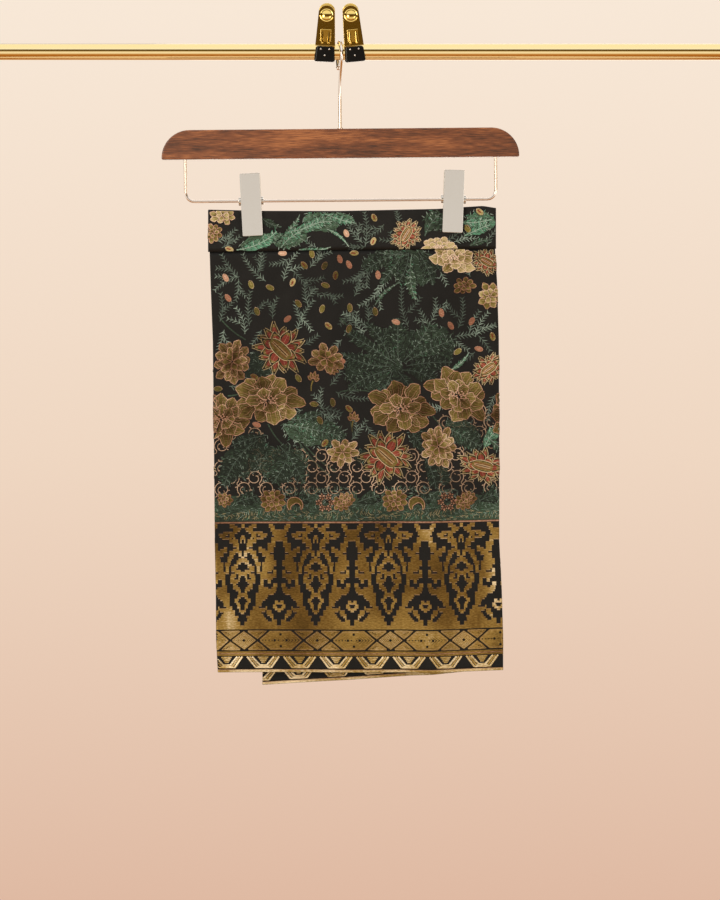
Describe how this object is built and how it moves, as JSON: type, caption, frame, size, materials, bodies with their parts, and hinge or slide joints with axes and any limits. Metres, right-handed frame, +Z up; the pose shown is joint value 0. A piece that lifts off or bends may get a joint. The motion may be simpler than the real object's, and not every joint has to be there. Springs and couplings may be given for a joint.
{
  "type": "songket cloth on a clip hanger and rail",
  "caption": "Folded songket wrap cloth with a sewn waistband and woven border, clipped to a wooden hanger whose hook hangs on a round rail between spring clips.",
  "frame": {"origin": "on the rail's axis, above the middle of the hanger", "axes": "+X along the rail, to the right seen from the front; -Y towards the front; +Z up"},
  "size_m": [0.9, 0.038, 0.8402],
  "materials": {
    "songket": "black satin ground with brocaded gold, copper, red and green wefts",
    "stained_wood": "walnut stain under a satin lacquer",
    "wire": "rose-gold plated wire",
    "satin_nickel": "warm satin plating",
    "polished_brass": "polished and lacquered",
    "black_rubber": "smooth moulded"
  },
  "bodies": {
    "root": {"sampin_body": "songket", "waistband": "songket", "hanger_bar": "stained_wood", "hanger_hook": "wire", "clip_wire": "wire", "clip_left_front": "satin_nickel", "clip_left_back": "satin_nickel", "clip_left_barrel": "satin_nickel", "clip_right_front": "satin_nickel", "clip_right_back": "satin_nickel", "clip_right_barrel": "satin_nickel", "rail": "polished_brass", "stop_left_front_lever": "polished_brass", "stop_left_back_lever": "polished_brass", "stop_left_button": "polished_brass", "stop_left_pin": "polished_brass", "stop_left_front_jaw": "black_rubber", "stop_left_back_jaw": "black_rubber", "stop_right_front_lever": "polished_brass", "stop_right_back_lever": "polished_brass", "stop_right_button": "polished_brass", "stop_right_pin": "polished_brass", "stop_right_front_jaw": "black_rubber", "stop_right_back_jaw": "black_rubber"}
  },
  "joints": []
}
